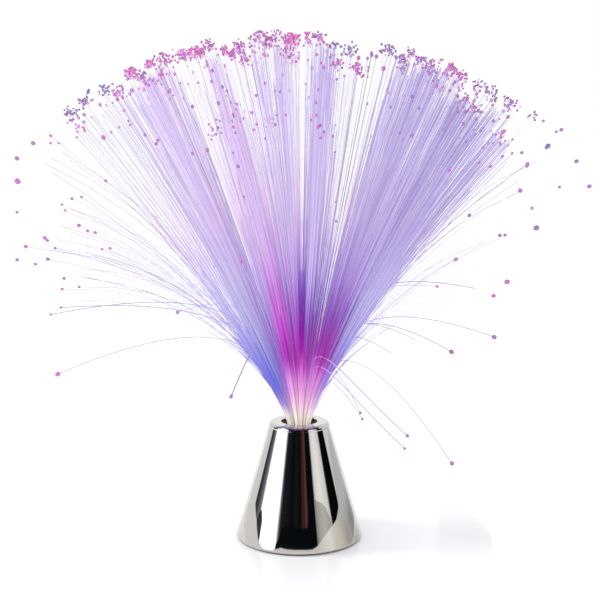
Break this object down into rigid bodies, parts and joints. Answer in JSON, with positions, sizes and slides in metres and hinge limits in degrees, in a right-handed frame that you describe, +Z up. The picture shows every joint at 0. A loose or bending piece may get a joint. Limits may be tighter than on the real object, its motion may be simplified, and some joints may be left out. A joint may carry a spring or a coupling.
{
  "type": "fibre optic lamp",
  "caption": "Battery fibre optic fountain lamp: a plated cone base with a plug-in spray of fine light fibres, each ending in a small glowing bead.",
  "frame": {"origin": "on the cone's axis at the height of the table that the rubber feet stand on", "axes": "+Z up along the cone's axis; -Y is the front that the picture shows; +X is to the right in it"},
  "size_m": [0.356, 0.3, 0.3073],
  "materials": {
    "cone_shell": "polished plating",
    "neck_collar": "matte black moulding",
    "ferrule": "matte black sleeve",
    "bundle_core": "polished fibre ends in clear potting",
    "fibre_spray": "clear acrylic fibre lit violet",
    "light_cup": "white reflector",
    "led_red": "tinted epoxy",
    "led_green": "tinted epoxy",
    "led_blue": "tinted epoxy",
    "circuit_board": "green solder mask",
    "controller_chip": "moulded package",
    "resistors": "tan lacquer",
    "small_screws": "zinc plate",
    "base_screws": "zinc plate",
    "base_plate": "fine grain moulding",
    "battery_door": "fine grain moulding",
    "battery_1": "plain printed sleeve",
    "battery_2": "plain printed sleeve",
    "battery_3": "plain printed sleeve",
    "battery_springs": "nickel plate",
    "contact_plates": "nickel plate",
    "switch_body": "tin plate",
    "switch_knob": "moulded",
    "rubber_feet": "matte",
    "wire_red": "insulated",
    "wire_black": "insulated",
    "switch_wires": "insulated"
  },
  "bodies": {
    "base": {"cone_shell": "cone_shell", "neck_collar": "neck_collar", "light_cup": "light_cup", "led_red": "led_red", "led_green": "led_green", "led_blue": "led_blue", "circuit_board": "circuit_board", "controller_chip": "controller_chip", "resistors": "resistors", "small_screws": "small_screws", "base_screws": "base_screws", "base_plate": "base_plate", "battery_1": "battery_1", "battery_2": "battery_2", "battery_3": "battery_3", "battery_springs": "battery_springs", "contact_plates": "contact_plates", "switch_body": "switch_body", "rubber_feet": "rubber_feet", "wire_red": "wire_red", "wire_black": "wire_black", "switch_wires": "switch_wires"},
    "spray": {"ferrule": "ferrule", "bundle_core": "bundle_core", "fibre_spray": "fibre_spray"},
    "switch": {"switch_knob": "switch_knob"},
    "door": {"battery_door": "battery_door"}
  },
  "joints": [
    {"name": "spray_lift", "type": "slide", "parent": "base", "child": "spray", "axis": [0, 0, 1], "range_m": [0, 0.045]},
    {"name": "switch_slide", "type": "slide", "parent": "base", "child": "switch", "axis": [0, 1, 0], "range_m": [0, 0.003]},
    {"name": "battery_door_hinge", "type": "hinge", "parent": "base", "child": "door", "pos_m": [0, -0.02715, 0.0027], "axis": [-1, 0, 0], "range_deg": [0, 90]}
  ]
}
